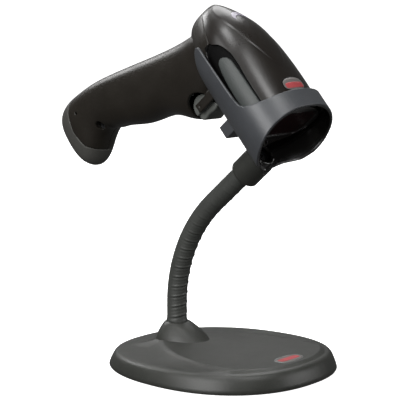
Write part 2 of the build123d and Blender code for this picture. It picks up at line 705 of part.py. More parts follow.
def scan_frame():
    """The die-cast tray that carries laser, mirrors and detector."""
    tray = block((-17.0, 17.0), (24.0, 72.0), (ENGINE_FLOOR, ENGINE_FLOOR + 2.5))
    tray += block((-17.0, -14.5), (24.0, 72.0), (ENGINE_FLOOR, ENGINE_FLOOR + 7.0))
    tray += block((14.5, 17.0), (24.0, 72.0), (ENGINE_FLOOR, ENGINE_FLOOR + 7.0))
    tray += post(2.6, ENGINE_FLOOR, ENGINE_FLOOR + 6.0, *MIRROR_PIVOT)
    tray -= post(1.0, ENGINE_FLOOR - 1, ENGINE_FLOOR + 7.0, *MIRROR_PIVOT)
    return tray


def scan_mirror():
    """The flat mirror that sweeps the beam, on its own upright shaft."""
    plate = Pos(*MIRROR_PIVOT, -0.2) * Box(15.0, 1.6, 13.0)
    hub = post(2.2, ENGINE_FLOOR + 6.3, 6.3, *MIRROR_PIVOT)
    shaft = post(0.95, ENGINE_FLOOR + 0.6, ENGINE_FLOOR + 7.0, *MIRROR_PIVOT)
    return plate + hub + shaft


def laser_module():
    """The brass barrel of the laser, lying on the tray and facing the mirror."""
    barrel = Pos(-9.0, 35.0, ENGINE_FLOOR + 7.0) * Rot(-90, 0, 0) * Cylinder(4.2, 15.0)
    return barrel - Pos(-9.0, 42.0, ENGINE_FLOOR + 7.0) * Rot(-90, 0, 0) * Cylinder(2.0, 4.0)


def collecting_mirror():
    """The hollow-ground mirror that gathers the returning light, behind the scan mirror."""
    blank = block((-13.5, 13.5), (68.0, 71.5), (ENGINE_FLOOR + 2.5, 9.0))
    return blank - Pos(0, 30.0, 0) * Sphere(40.0)


def make_insides():
    save("main_board", in_world(on_board((-11.0, 11.0), (-0.8, 0.8), (0, BOARD_LENGTH))))
    save("trigger_switch", in_world(on_board((-3.1, 3.1), (-5.0, -0.8), (0.6, 6.8))))
    chips = [on_board((-4.5, 4.5), (0.8, 2.4), (low, low + 9.0)) for low in (14.0, 32.0)]
    save("board_chips", *[in_world(chip) for chip in chips])
    save("beeper", in_world(BOARD_FRAME * Pos(0, -3.3, -50.0) * Rot(90, 0, 0) * Cylinder(5.5, 5.0)))
    save("cable_socket", in_world(cable_socket()))
    save("scan_frame", in_world(scan_frame()))
    save("scan_mirror", in_world(scan_mirror()))
    save("laser_module", in_world(laser_module()))
    save("collecting_mirror", in_world(collecting_mirror()))
    save("detector_board", in_world(block((4.0, 14.0), (30.0, 31.6), (ENGINE_FLOOR + 2.5, 5.0))))


make_base()
make_neck()
make_cup()
make_shells()
make_nose()
make_trigger()
make_insides()
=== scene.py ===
"""Looks for the handheld barcode scanner in its gooseneck stand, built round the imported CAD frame.

Sizes are in millimetres, and a point turns into metres where it is made. The scanner and its cup are
placed in a frame of their own, the scan frame: its -Y is the direction the scanner looks, its +Z is
towards the crown of the head, and its origin is the middle of the cup's front mouth.
"""
import math
import bpy
import numpy as np
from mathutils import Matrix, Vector

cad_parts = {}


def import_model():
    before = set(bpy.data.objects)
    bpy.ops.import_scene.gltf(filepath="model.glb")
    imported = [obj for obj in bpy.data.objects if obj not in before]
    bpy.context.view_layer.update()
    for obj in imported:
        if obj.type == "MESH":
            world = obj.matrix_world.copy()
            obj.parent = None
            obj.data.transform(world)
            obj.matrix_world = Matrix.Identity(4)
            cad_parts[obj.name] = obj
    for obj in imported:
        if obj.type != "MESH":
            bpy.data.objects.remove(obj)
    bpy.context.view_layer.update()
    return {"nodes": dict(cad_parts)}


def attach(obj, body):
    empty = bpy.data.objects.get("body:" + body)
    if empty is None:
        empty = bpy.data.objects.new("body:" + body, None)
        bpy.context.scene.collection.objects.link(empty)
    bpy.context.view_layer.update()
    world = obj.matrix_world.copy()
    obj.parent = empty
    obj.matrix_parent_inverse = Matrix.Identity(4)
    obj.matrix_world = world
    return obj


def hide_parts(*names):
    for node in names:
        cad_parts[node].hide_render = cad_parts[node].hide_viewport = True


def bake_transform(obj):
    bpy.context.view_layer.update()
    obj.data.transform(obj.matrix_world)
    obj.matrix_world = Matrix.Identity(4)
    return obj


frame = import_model()
nodes = frame["nodes"]

# ---------------------------------------------------------------- driving dimensions, in millimetres
MM = 0.001

# Scan frame
TILT = math.radians(49.0)          # the scan frame leans back by this much
MOUTH_Y, MOUTH_Z = -53.2, 152.2    # its origin

# Gooseneck
NECK_Y = 38.0
NECK_RADIUS = 6.6                  # of the sleeve's skin, ribs aside
NECK_LENGTHS = 4                   # the bend is cut into this many lengths, which meet in joints
BEND_RADIUS = 92.0
BEND_FOOT_Z = 35.765               # height at which the bend starts
BEND_LENGTH = BEND_RADIUS * TILT
LINE_REACH = 75.78                 # from the top of the bend to the scan frame's height of zero
COLLAR_FOOT = 45.0                 # the collar starts this far below that height
COLLAR_OVERLAP = 5.5               # the skin ends this far inside the collar
SKIN_FOOT_Z = 17.0                 # the skin starts at this height, inside the boss
ROOT_SWELL = 0.3                   # the skin's radius grows by this where it goes into the boss
SWELL_SPAN = (-9.5, -11.5)         # between these two lengths along the bend, counted from its foot
RIB_PITCH = 6.9
RIB_HEIGHT = 0.38
RIB_DEPTH = 0.25                   # of the grooves beside the ribs
RIB_FADE = 0.6                     # share of their height that the ribs lose by the top of the bend
RIB_BACK = 0.1                     # share that they keep on the outside of the bend
SKIN_STEP = 0.3                    # distance between two rings of the skin's mesh

# Base
BASE_HALF = (66.9, 72.8)
BASE_POWER = 2.25                  # exponent of the superellipse that the base follows
BASE_EGG = 0.03                    # how much wider the base is towards its front
DECK_HEIGHT = 13.4
WALL = [                           # inset of the wall, height
    (1.2, 0.5), (0.35, 0.55), (0.0, 1.1), (0.6, 3.2), (1.5, 5.5), (2.4, 7.5), (3.2, 8.9), (4.2, 9.9),
    (5.4, 10.4), (6.8, 10.7), (8.4, 10.8),
]
RIM_SLOPE = 0.00185                # share by which the rim grows for each millimetre towards the front
CREST = [                          # y, half width of the raised deck
    (-69.0, 22.0), (-66.0, 31.0), (-58.0, 39.0), (-45.0, 43.5), (-28.0, 44.0), (-8.0, 41.5), (8.0, 36.5),
    (20.0, 30.0), (30.0, 23.0), (40.0, 15.0),
]
CREST_FRONT, CREST_BACK = -66.0, 44.0
CREST_FALL = 13.0                  # the deck falls to the rim's height over this width
CREST_ROUND = 0.2                  # and starts this far inside its crest
BOSS = [                           # rear reach, front reach, half width, height
    (12.6, 26.5, 16.0, 12.2), (12.2, 24.4, 15.4, 13.6), (11.9, 22.6, 14.8, 15.2), (11.2, 19.8, 13.4, 17.4),
    (10.3, 16.6, 11.8, 19.6), (9.2, 13.0, 10.1, 21.6), (8.2, 10.2, 8.7, 23.0), (7.5, 8.4, 7.6, 23.7),
    (7.0, 7.2, 7.0, 23.9), (6.7, 6.7, 6.7, 22.6),
]

# Cup: its section about midway through its wall, from the height at which it is widest
CUP_WIDEST_Z = 4.0
CUP_HALF_WIDTH = 32.1
CUP_RISE = 20.9
CUP_DROP = 34.4
KEEL_PINCH = 0.9                   # how far the flanks are drawn in towards the keel
KEEL_POWER = 3.2

# Head of the scanner
HEAD = [                           # y, half width, crown, belly, height of the widest point
    (2.5, 29.8, 22.2, -20.0, 4.0), (14.0, 30.2, 22.4, -24.0, 4.0), (28.0, 30.2, 22.8, -28.0, 4.0),
    (42.0, 29.6, 22.8, -28.6, 3.4), (56.0, 27.9, 22.2, -30.5, 2.4), (70.0, 24.6, 19.8, -30.5, 1.0),
    (80.0, 20.2, 16.4, -28.5, 0.0), (88.0, 15.0, 12.6, -25.5, -1.5), (94.0, 9.6, 8.9, -22.5, -3.0),
    (97.6, 4.6, 5.6, -18.5, -5.0), (98.7, 2.0, 2.6, -14.5, -6.0),
]
COVER_FRONT = 6.55                 # the top cover starts here, behind the bezel's lip
SEAM = [                           # y, height of the seam between the top cover and the shells
    (-6.0, 13.2), (19.6, 13.1), (44.8, 13.1), (52.7, 12.5), (60.0, 10.3), (64.8, 7.6), (67.2, 4.6),
    (70.0, 2.9), (78.0, 2.5), (87.0, 1.8), (94.0, -0.2), (104.0, -4.0),
]
SEAM_GAP = 0.14
EDGE_ROLL = [                      # how the top cover's edge rolls in: depth, distance from the seam
    (1.5, 0.0), (0.5, 0.0), (0.16, 0.05), (0.0, 0.2),
]
ROLL_WIDTH = 0.35                  # the roll ends this far from the seam
ALMOND = [                         # y, half width of the raised field on the crown
    (34.0, 0.0), (42.0, 6.4), (50.9, 10.2), (57.9, 12.4), (65.3, 13.3), (74.4, 13.8), (83.3, 12.5),
    (89.6, 9.6), (95.4, 4.5), (98.2, 0.0),
]
ALMOND_RISE = 0.26
ALMOND_START = (33.0, 42.0)        # the field comes up out of the crown between these two y
ALMOND_STEP = (-0.8, 0.6)          # its edge slopes down from this far inside to this far outside
RECESS_SIDE = 10.0                 # the side recesses behind the bumpers are further out than this
RECESS_BACK = 69.5
RECESS_FLOOR = [(60.0, -3.6), (66.0, -1.5)]    # y, height of the recess's lower edge
HOLES = [                          # y, height and radius of the toe screw's, belly screw's and release hole
    (96.0, -114.4, 2.5), (34.0, -21.0, 2.5), (113.9, -124.5, 0.9),
]

# Inlays: status light and badges
INLAY_EDGE = -0.35                 # the edge of an inlay is turned down to this depth
LENS_NEAR = (72.6, 7.2, 1.10)      # the lens lies between two arcs: y of the middle, radius, half angle
LENS_FAR = (77.4, 6.6, 1.80)
LENS_LIFT = 0.12
HEAD_BADGE = (10.2, 5.2, 21.6, 20.6)           # half width, half length, y of its middle and of its bar
BASE_BADGE = (11.5, 6.2, -54.0, -54.0)
RIM_LIFT, PLATE_LIFT, BAR_LIFT = 0.12, 0.18, 0.24
BADGE_RIM = 0.6                    # width of a badge's rim
PLATE_SHIFT = 0.2                  # the plate lies this much nearer to the badge's front
BAR_SHARE = (0.8, 0.4)             # size of the red bar as a share of the badge's

# Camera and studio, in metres
CAMERA_PLACE = (-0.6986, -0.5785, 0.2412)
CAMERA_AZIMUTH, CAMERA_PITCH = math.radians(-49.5), math.radians(8.4)
FOCAL_LENGTH, SENSOR_WIDTH = 130.5, 36.0        # these two in millimetres
LIT_POINT = (0.0, 0.0, 0.12)       # every softbox is aimed here
SOFTBOXES = [                      # name, place, size, power in watts
    ("key_left", (-1.1, 0.45, 1.15), (0.6, 0.9), 6.0),
    ("left_fill", (-1.4, -0.15, 0.65), (1.0, 1.0), 20.0),
    ("back_top", (0.75, 0.7, 1.3), (0.9, 0.6), 9.0),
    ("back_wall", (0.9, 1.3, 0.6), (2.2, 0.6), 0.7),
    ("spine", (0.25, 1.25, 0.95), (0.6, 0.4), 5.0),
    ("main", (-0.15, -0.8, 1.4), (0.35, 0.6), 6.0),
    ("top", (-0.2, 0.1, 1.5), (0.35, 0.35), 4.0),
    ("right_fill", (1.0, -1.3, 0.5), (0.7, 0.7), 7.0),
]
SUN_POWER = 0.8
SUN_ANGLE = math.radians(70)
SUN_TURN = (math.radians(12), math.radians(-18), 0)
AMBIENT, BACKDROP = 0.10, 1.0      # strength of the world's light, and of the backdrop that the camera sees
WHITE = (1, 1, 1, 1)
FLOOR_REACH = 40.0
FLOOR_GLOW = 0.95                  # the floor's own light, so that it stays white in the picture


# ---------------------------------------------------------------- points and curves
def scan(x, y, z):
    """A point of the scan frame, in the row frame, in metres."""
    c, s = math.cos(TILT), math.sin(TILT)
    return Vector((x, c * y - s * z + MOUTH_Y, s * y + c * z + MOUTH_Z)) * MM


def to_scan(points):
    """Scan-frame x, y and z, in millimetres, of an array of points in metres."""
    c, s = math.cos(TILT), math.sin(TILT)
    x, y, z = (points / MM).T
    return x, c * (y - MOUTH_Y) + s * (z - MOUTH_Z), c * (z - MOUTH_Z) - s * (y - MOUTH_Y)


def world(x, y, z):
    """A point of the row frame given in millimetres, in metres."""
    return Vector((x, y, z)) * MM


def smoothstep(a, b, t):
    """0 up to a, 1 from b on, and a smooth rise between them."""
    t = min(1.0, max(0.0, (t - a) / (b - a)))
    return t * t * (3 - 2 * t)


def signed_power(value, power):
    """A power that keeps the sign of its base."""
    return math.copysign(abs(value) ** power, value)


def turns(count):
    """Directions evenly spaced round a circle."""
    return [2 * math.pi * k / count for k in range(count)]


def along(table, t):
    """Smooth (monotone cubic) reading of a table of pairs, sorted by their first value."""
    xs = [row[0] for row in table]
    ys = [row[1] for row in table]
    if t <= xs[0]:
        return ys[0]
    if t >= xs[-1]:
        return ys[-1]
    i = next(k for k in range(len(xs) - 1) if t <= xs[k + 1])
    h = [xs[k + 1] - xs[k] for k in range(len(xs) - 1)]
    d = [(ys[k + 1] - ys[k]) / h[k] for k in range(len(xs) - 1)]

    def slope(k):
        """Slope of the curve at one of the table's rows."""
        if k == 0:
            return d[0]
        if k == len(xs) - 1:
            return d[-1]
        if d[k - 1] * d[k] <= 0:
            return 0.0
        w1, w2 = 2 * h[k] + h[k - 1], h[k] + 2 * h[k - 1]
        return (w1 + w2) / (w1 / d[k - 1] + w2 / d[k])

    u = (t - xs[i]) / h[i]
    m0, m1 = slope(i) * h[i], slope(i + 1) * h[i]
    return ((2 * u ** 3 - 3 * u ** 2 + 1) * ys[i] + (u ** 3 - 2 * u ** 2 + u) * m0
            + (-2 * u ** 3 + 3 * u ** 2) * ys[i + 1] + (u ** 3 - u ** 2) * m1)


# ---------------------------------------------------------------- materials
BROAD_SCALE, BROAD_DETAIL = 60.0, 5.0          # noise of the mottling and the uneven gloss
GRAIN_DETAIL = 3.0
BROAD_SPAN = (0.3, 0.75)           # stretch of the noise's values over which a colour changes
GRAIN_SPAN = (0.35, 0.7)
GLOSS_SPREAD = 0.1                 # share by which the roughness varies to either side
BUMP_DISTANCE = 0.00012            # metres


def noise(tree, where, scale, detail):
    """Noise in the object's own coordinates."""
    texture = tree.nodes.new("ShaderNodeTexNoise")
    texture.inputs["Scale"].default_value = scale
    texture.inputs["Detail"].default_value = detail
    tree.links.new(where.outputs["Object"], texture.inputs["Vector"])
    return texture.outputs["Fac"]


def ramp(tree, value, span, first, last):
    """A colour that goes from first to last while a value crosses a span."""
    node = tree.nodes.new("ShaderNodeValToRGB")
    for element, position, colour in zip(node.color_ramp.elements, span, (first, last)):
        element.position = position
        element.color = (*colour, 1)
    tree.links.new(value, node.inputs["Fac"])
    return node.outputs["Color"]


def multiplied(tree, a, b):
    """The product of two colours."""
    mix = tree.nodes.new("ShaderNodeMix")
    mix.data_type = "RGBA"
    mix.blend_type = "MULTIPLY"
    mix.inputs["Factor"].default_value = 1.0
    tree.links.new(a, mix.inputs["A"])
    tree.links.new(b, mix.inputs["B"])
    return mix.outputs["Result"]


def uneven(tree, value, middle):
    """A number that varies round its middle by GLOSS_SPREAD, as a noise does."""
    spread = tree.nodes.new("ShaderNodeMapRange")
    spread.inputs["From Min"].default_value = BROAD_SPAN[0]
    spread.inputs["From Max"].default_value = BROAD_SPAN[1]
    spread.inputs["To Min"].default_value = middle * (1 - GLOSS_SPREAD)
    spread.inputs["To Max"].default_value = min(1.0, middle * (1 + GLOSS_SPREAD))
    tree.links.new(value, spread.inputs["Value"])
    return spread.outputs["Result"]


def moulded(name, colour, roughness, grain=0.35, grain_scale=1600.0, mottle=0.12,
            metallic=0.0, coat=0.0, coat_roughness=0.1, specular=0.5):
    """A moulded or metal finish: mottled colour, uneven gloss and a fine bump, all from noise."""
    mat = bpy.data.materials.new(name)
    mat.use_nodes = True
    tree = mat.node_tree
    shader = tree.nodes["Principled BSDF"]
    shader.inputs["Metallic"].default_value = metallic
    shader.inputs["Coat Weight"].default_value = coat
    shader.inputs["Coat Roughness"].default_value = coat_roughness
    shader.inputs["Specular IOR Level"].default_value = specular
    where = tree.nodes.new("ShaderNodeTexCoord")
    broad = noise(tree, where, BROAD_SCALE, BROAD_DETAIL)
    fine = noise(tree, where, grain_scale, GRAIN_DETAIL)

    dark = [c * (1 - mottle) for c in colour]
    light = [min(1.0, c * (1 + mottle)) for c in colour]
    patches = ramp(tree, broad, BROAD_SPAN, dark, light)
    specks = ramp(tree, fine, GRAIN_SPAN, [1 - mottle] * 3, [1 + mottle] * 3)
    tree.links.new(multiplied(tree, patches, specks), shader.inputs["Base Color"])
    tree.links.new(uneven(tree, broad, roughness), shader.inputs["Roughness"])

    bump = tree.nodes.new("ShaderNodeBump")
    bump.inputs["Strength"].default_value = grain
    bump.inputs["Distance"].default_value = BUMP_DISTANCE
    tree.links.new(fine, bump.inputs["Height"])
    tree.links.new(bump.outputs["Normal"], shader.inputs["Normal"])
    return mat


def tinted_glass(name, colour):
    """The dark red window: smooth, partly clear, with a faint ripple."""
    mat = moulded(name, colour, 0.06, grain=0.03, grain_scale=220.0, mottle=0.05)
    shader = mat.node_tree.nodes["Principled BSDF"]
    shader.inputs["Transmission Weight"].default_value = 0.35
    shader.inputs["IOR"].default_value = 1.49
    return mat


def glowing(name, colour, strength):
    """A matt white surface with a light of its own."""
    mat = moulded(name, colour, 0.9, grain=0.02, mottle=0.01, specular=0.1)
    shader = mat.node_tree.nodes["Principled BSDF"]
    shader.inputs["Emission Color"].default_value = WHITE
    shader.inputs["Emission Strength"].default_value = strength
    return mat


# Stand
STAND = moulded("stand_charcoal", (0.026, 0.027, 0.0235), 0.42, grain=0.5, grain_scale=1500.0,
                specular=0.45)
SLEEVE = moulded("neck_rubber", (0.044, 0.046, 0.042), 0.5, grain=0.45, grain_scale=1900.0, specular=0.45)
PAD = moulded("foot_rubber", (0.02, 0.02, 0.02), 0.8, grain=0.6, grain_scale=900.0)
CUP = moulded("cup_blue_grey", (0.047, 0.050, 0.055), 0.42, grain=0.22, grain_scale=2200.0, coat=0.12,
              coat_roughness=0.35, mottle=0.07)
# Scanner
CROWN = moulded("crown_brown_black", (0.0085, 0.0066, 0.0050), 0.30, grain=0.02, grain_scale=1200.0,
                coat=0.2, coat_roughness=0.25, mottle=0.08, specular=0.35)
SHELL = moulded("shell_near_black", (0.0112, 0.0090, 0.0064), 0.36, grain=0.5, grain_scale=2100.0,
                specular=0.45)
CAP = moulded("cap_dark_grey", (0.056, 0.055, 0.050), 0.5, grain=0.5, grain_scale=2100.0, specular=0.4)
# painted shade: near-black for the shells' side recesses and holes, where shade falls; the head badge's rim
# uses it too
SHADE_AND_RIM_BLACK = moulded("painted_shade_and_badge_rim_black", (0.0016, 0.0016, 0.0016), 0.7, grain=0.4, specular=0.08)
BUMPER = moulded("bumper_grey_green", (0.031, 0.036, 0.034), 0.5, grain=0.2, grain_scale=2000.0)
TRIGGER = moulded("trigger_grey_green", (0.095, 0.100, 0.092), 0.5, grain=0.25, grain_scale=2000.0)
# glossy black of the nose bezel, also painted on the cup's lining as painted shade
NOSE_BLACK_AND_LINING_SHADE = moulded("nose_gloss_black_and_lining_shade", (0.006, 0.0054, 0.005), 0.2, grain=0.05, specular=0.6, coat=0.3)
GLASS = tinted_glass("window_red", (0.016, 0.002, 0.003))
# Inlays
PLATE = moulded("badge_grey", (0.12, 0.11, 0.105), 0.5, grain=0.1, grain_scale=2600.0, specular=0.3)
RED = moulded("badge_red", (0.34, 0.05, 0.055), 0.5, grain=0.08, grain_scale=2600.0, specular=0.3)
SILVER = moulded("badge_rim", (0.20, 0.21, 0.21), 0.4, grain=0.1, metallic=0.5)
LENS = moulded("lens_milky", (0.24, 0.22, 0.27), 0.35, grain=0.03, coat=0.1)
# Insides and fasteners
STEEL = moulded("steel", (0.42, 0.42, 0.43), 0.38, grain=0.2, metallic=1.0, mottle=0.1)
BLACK_STEEL = moulded("black_steel", (0.05, 0.05, 0.052), 0.35, grain=0.2, metallic=0.9)
BRASS = moulded("brass", (0.62, 0.44, 0.16), 0.3, grain=0.15, metallic=1.0)
CASTING = moulded("die_casting", (0.5, 0.5, 0.51), 0.5, grain=0.5, metallic=0.9)
BOARD = moulded("solder_mask", (0.012, 0.09, 0.04), 0.35, grain=0.3, grain_scale=3000.0)
CHIP = moulded("epoxy_black", (0.012, 0.012, 0.012), 0.5, grain=0.4)
MIRROR = moulded("mirror_coat", (0.86, 0.87, 0.88), 0.05, grain=0.01, metallic=1.0, mottle=0.02)
# Studio
FLOOR = glowing("floor_white", (0.86, 0.86, 0.86), FLOOR_GLOW)

NODE_FINISH = {
    STAND: ["base_cover", "base_floor", "neck_collar"],
    SLEEVE: [f"neck_sleeve_{k}" for k in range(NECK_LENGTHS + 2)],
    PAD: ["base_pad"],
    STEEL: ["base_weight", "neck_ferrule", "neck_nut", "trigger_pin", "cup_magnet"]
    + [f"neck_conduit_{k}" for k in range(NECK_LENGTHS + 2)],
    BLACK_STEEL: ["base_screws", "collar_screw", "housing_screws"],
    CHIP: ["trigger_switch", "beeper", "cable_socket", "board_chips"],
    BOARD: ["main_board", "detector_board"],
    CASTING: ["scan_frame"],
    MIRROR: ["scan_mirror", "collecting_mirror"],
    BRASS: ["laser_module"],
    GLASS: ["window"],
    CUP: ["cup"],
    CROWN: ["top_cover"],
    SHELL: ["housing_left", "housing_right"],
    CAP: ["handle_end_cap"],
    BUMPER: ["bumper_left", "bumper_right"],
    TRIGGER: ["trigger"],
    NOSE_BLACK_AND_LINING_SHADE: ["nose_bezel"],
    PLATE: ["head_badge", "base_badge"],
    LENS: ["led_lens"],
}
for material, names in NODE_FINISH.items():
    for node in names:
        nodes[node].data.materials.clear()
        nodes[node].data.materials.append(material)


# ---------------------------------------------------------------- pieces
def shown(name, data):
    """A new object of the scene."""
    obj = bpy.data.objects.new(name, data)
    bpy.context.scene.collection.objects.link(obj)
    return obj


def piece(name, points, faces, material, slot, *replaced):
    """A smooth mesh piece in place of the CAD nodes it replaces. It has still to ride on its body."""
    mesh = bpy.data.meshes.new(name)
    mesh.from_pydata([tuple(p) for p in points], [], faces)
    mesh.validate()
    mesh.update()
    mesh.materials.append(material)
    mesh.polygons.foreach_set("use_smooth", [True] * len(mesh.polygons))
    obj = shown(name, mesh)
    if replaced:
        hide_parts(*replaced)
    return obj


def grid_faces(rows, columns, closed=True, cap_start=False, cap_end=False):
    """Faces of a grid of rows of points, closed round each row and capped at its ends if asked."""
    faces = []
    span = columns if closed else columns - 1
    for r in range(rows - 1):
        for c in range(span):
            a, b = r * columns + c, r * columns + (c + 1) % columns
            faces.append((a, b, b + columns, a + columns))
    if cap_start:
        faces.append(tuple(range(columns - 1, -1, -1)))
    if cap_end:
        faces.append(tuple(range((rows - 1) * columns, rows * columns)))
    return faces


def softened(node, materials, body, voxel, passes, paint=None):
    """A copy of a CAD node with its sharp edges rounded. Paint picks each face's material by its middle."""
    obj = shown(f"{node}_moulded", nodes[node].data.copy())
    remesh = obj.modifiers.new("remesh", "REMESH")
    remesh.mode = "VOXEL"
    remesh.voxel_size = voxel * MM
    smooth = obj.modifiers.new("smooth", "SMOOTH")
    smooth.factor = 0.5
    smooth.iterations = passes
    graph = bpy.context.evaluated_depsgraph_get()
    mesh = bpy.data.meshes.new_from_object(obj.evaluated_get(graph))
    obj.modifiers.clear()
    obj.data = mesh
    mesh.materials.clear()
    for material in materials:
        mesh.materials.append(material)
    if paint:
        middles = np.empty(3 * len(mesh.polygons))
        mesh.polygons.foreach_get("center", middles)
        mesh.polygons.foreach_set("material_index", paint(*to_scan(middles.reshape(-1, 3))))
    mesh.polygons.foreach_set("use_smooth", [True] * len(mesh.polygons))
    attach(obj, body)
    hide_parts(node)


# ---------------------------------------------------------------- gooseneck skin
def neck_point(s):
    """The neck's centre at length s along its bend, and the direction to the bend's inside there."""
    angle = min(max(s, 0.0), BEND_LENGTH) / BEND_RADIUS
    inner = Vector((0, -math.cos(angle), -math.sin(angle)))
    onward = Vector((0, -math.sin(angle), math.cos(angle)))
    bend_middle = Vector((0, NECK_Y - BEND_RADIUS, BEND_FOOT_Z))
    return bend_middle - BEND_RADIUS * inner + (s - BEND_RADIUS * angle) * onward, inner


def ridge(phase, sharpness):
    """A rounded ridge once a turn, from 0 to 1."""
    return max(0.0, math.cos(phase)) ** sharpness


def sleeve_radius(s, turn):
    """Radius of the skin: ribs along a helix, higher towards the inside and the foot of the bend."""
    phase = 2 * math.pi * s / RIB_PITCH - turn
    # a groove runs beside each rib, and a fainter one about midway between the ribs
    groove = ridge(phase + 1.0, 5) + 0.4 * ridge(phase + 3.2, 7)
    relief = RIB_HEIGHT * ridge(phase, 5) - RIB_DEPTH * groove
    fade = 1 - RIB_FADE * smoothstep(0.5 * BEND_LENGTH, BEND_LENGTH, s)
    inward = RIB_BACK + (1 - RIB_BACK) * smoothstep(-0.2, 0.8, math.cos(turn))
    return NECK_RADIUS + ROOT_SWELL * smoothstep(*SWELL_SPAN, s) + inward * fade * relief


def neck_skin(start, end, cap_start, cap_end):
    """A run of the sleeve's skin between two lengths along the neck."""
    around = 48
    rows = int((end - start) / SKIN_STEP)
    points = []
    for r in range(rows + 1):
        s = start + (end - start) * r / rows
        centre, inner = neck_point(s)
        for turn in turns(around):
            out = inner * math.cos(turn) + Vector((1, 0, 0)) * math.sin(turn)
            points.append(world(*(centre + out * sleeve_radius(s, turn))))
    return points, grid_faces(rows + 1, around, cap_start=cap_start, cap_end=cap_end)


JOINT_SPACING = BEND_LENGTH / NECK_LENGTHS
SKIN_START = SKIN_FOOT_Z - BEND_FOOT_Z
SKIN_END = BEND_LENGTH + LINE_REACH - COLLAR_FOOT + COLLAR_OVERLAP
for k in range(NECK_LENGTHS + 1):
    first, last = k == 0, k == NECK_LENGTHS
    joint = JOINT_SPACING * k
    start = SKIN_START if first else joint - JOINT_SPACING / 2
    end = SKIN_END if last else joint + JOINT_SPACING / 2
    sleeves = [f"neck_sleeve_{k}"] + ([f"neck_sleeve_{k + 1}"] if last else [])
    skin = piece(f"neck_skin_{k}", *neck_skin(start, end, first, last), SLEEVE, "sleeve_rubber", *sleeves)
    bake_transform(skin)


# ---------------------------------------------------------------- base cover
def base_rim(turn, inset):
    """A point of the base's outline, moved in by inset, at a direction round it."""
    across = signed_power(math.cos(turn), 2 / BASE_POWER)
    back = signed_power(math.sin(turn), 2 / BASE_POWER)
    return across * (BASE_HALF[0] - inset) * (1 - BASE_EGG * back), back * (BASE_HALF[1] - inset)


def deck_height(x, y):
    """Height of the deck: a raised plateau that falls away outside its crest."""
    rim = WALL[-1][1] * (1 - RIM_SLOPE * y)
    outside = max(abs(x) - along(CREST, y), 1.2 * (CREST_FRONT - y), y - CREST_BACK)
    fall = min(1.0, max(0.0, (outside + CREST_ROUND) / CREST_FALL)) ** 0.5
    return DECK_HEIGHT - (DECK_HEIGHT - rim) * fall


def base_top():
    """The cover's skin: level foot, leaning wall, soft shoulder, then the deck in towards its middle."""
    around, inner_rows = 160, 46
    points = []
    for inset, height in WALL:
        slope = RIM_SLOPE * smoothstep(0.6, 4.0, height)
        for turn in turns(around):
            x, y = base_rim(turn, inset)
            points.append(world(x, y, height * (1 - slope * y)))
    for r in range(1, inner_rows + 1):
        share = 1 - r / inner_rows
        for turn in turns(around):
            x, y = (share * part for part in base_rim(turn, WALL[-1][0]))
            points.append(world(x, y, deck_height(x, y)))
    return points, grid_faces(len(WALL) + inner_rows, around)


def boss():
    """The flared root round the neck's foot, drawn out towards the front."""
    around = 64
    points = []
    for rear, front, half, height in BOSS:
        for turn in turns(around):
            reach = rear if math.sin(turn) > 0 else front
            points.append(world(half * math.cos(turn), NECK_Y + reach * math.sin(turn), height))
    return points, grid_faces(len(BOSS), around)


def base_cover():
    """The deck and the boss as one mesh."""
    points, faces = base_top()
    boss_points, boss_faces = boss()
    shift = len(points)
    return points + boss_points, faces + [tuple(i + shift for i in face) for face in boss_faces]


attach(piece("base_cover_moulded", *base_cover(), STAND, "stand_plastic", "base_cover"), "stand_base")


# ---------------------------------------------------------------- crown of the head
def head_station(t):
    """The head's measures at a place along its list of stations, smooth through all of them."""
    last = len(HEAD) - 1
    i = min(int(t), last - 1)
    u = t - i
    rows = [HEAD[max(0, i - 1)], HEAD[i], HEAD[i + 1], HEAD[min(last, i + 2)]]
    found = []
    for p0, p1, p2, p3 in zip(*rows):
        found.append(0.5 * (2 * p1 + (p2 - p0) * u + (2 * p0 - 5 * p1 + 4 * p2 - p3) * u ** 2
                            + (3 * p1 - p0 - 3 * p2 + p3) * u ** 3))
    return found


def crown_point(station, turn, inset):
    """A point of the head's upper surface, moved in by inset, with the almond field raised."""
    y, half, crown, belly, widest = station
    rise = math.sin(turn)
    reach = crown - widest if rise > 0 else widest - belly
    x = (half - inset) * math.cos(turn)
    z = widest + (reach - inset) * rise
    if ALMOND[0][0] < y < ALMOND[-1][0] and rise > 0 and inset < 1:
        edge = along(ALMOND, y)
        step = 1 - smoothstep(edge + ALMOND_STEP[0], edge + ALMOND_STEP[1], abs(x))
        z += ALMOND_RISE * smoothstep(*ALMOND_START, y) * step
    return scan(x, y, z)


def seam_turn(station):
    """The direction, round the head's section, at which the seam runs."""
    y, _, crown, belly, widest = station
    rise = along(SEAM, y) + SEAM_GAP - widest
    rise /= crown - widest if rise > 0 else widest - belly
    return math.asin(max(-0.95, min(0.95, rise)))


def crown_line(station, across=150):
    """Directions and depths of one line of the top cover, over the head from seam to seam."""
    low = seam_turn(station)
    reach = max(4.0, station[1])
    rolled = [(low + distance / reach, depth) for depth, distance in EDGE_ROLL]
    first = low + ROLL_WIDTH / reach
    skin = [(first + (math.pi - 2 * first) * c / across, 0.0) for c in range(across + 1)]
    return rolled + skin + [(math.pi - turn, depth) for turn, depth in reversed(rolled)]


def crown_cover():
    """The glossy top cover: its outer skin, rolled in along the seam and at both ends."""
    start, end, steps = 0.35, len(HEAD) - 1.0, 190      # the first two are places along HEAD
    stations = [head_station(start + (end - start) * k / steps) for k in range(steps + 1)]
    stations[0][0] = COVER_FRONT
    rows = [(stations[0], depth) for depth, _ in EDGE_ROLL[:-1]] + [(station, 0.0) for station in stations]
    points = []
    for station, least_depth in rows:
        line = crown_line(station)
        points += [crown_point(station, turn, max(depth, least_depth)) for turn, depth in line]
    return points, grid_faces(len(rows), len(line), closed=False, cap_end=True)


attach(piece("top_cover_moulded", *crown_cover(), CROWN, "crown_plastic", "top_cover"), "scanner")


